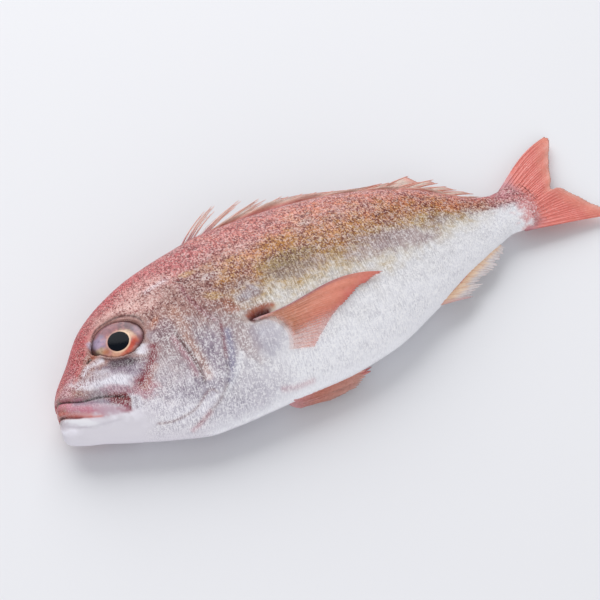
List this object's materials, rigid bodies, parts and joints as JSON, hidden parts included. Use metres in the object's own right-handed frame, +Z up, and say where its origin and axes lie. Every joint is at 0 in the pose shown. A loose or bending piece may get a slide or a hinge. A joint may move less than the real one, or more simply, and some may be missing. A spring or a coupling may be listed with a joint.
{
  "type": "whole raw fish",
  "caption": "Whole raw pink-backed sea fish with head, eyes, folded spiny back fin, breast fin and forked tail, lying flat on one flank.",
  "frame": {"origin": "middle of the fish's outline, on the surface that it lies on", "axes": "+X along the fish from the snout to the tail, +Y across it towards the back fin, +Z up from the surface, out of the left flank"},
  "size_m": [0.328, 0.1286, 0.0444],
  "materials": {
    "skin": "wet raw fish skin, rose back shading to silver flanks and a white belly",
    "fin": "thin wet salmon-pink fin membrane on fine rays",
    "eye": "wet glossy eye, black pupil in a pale ring"
  },
  "bodies": {
    "root": {"fish": "skin", "eye_left": "eye", "eye_right": "eye"}
  },
  "joints": []
}
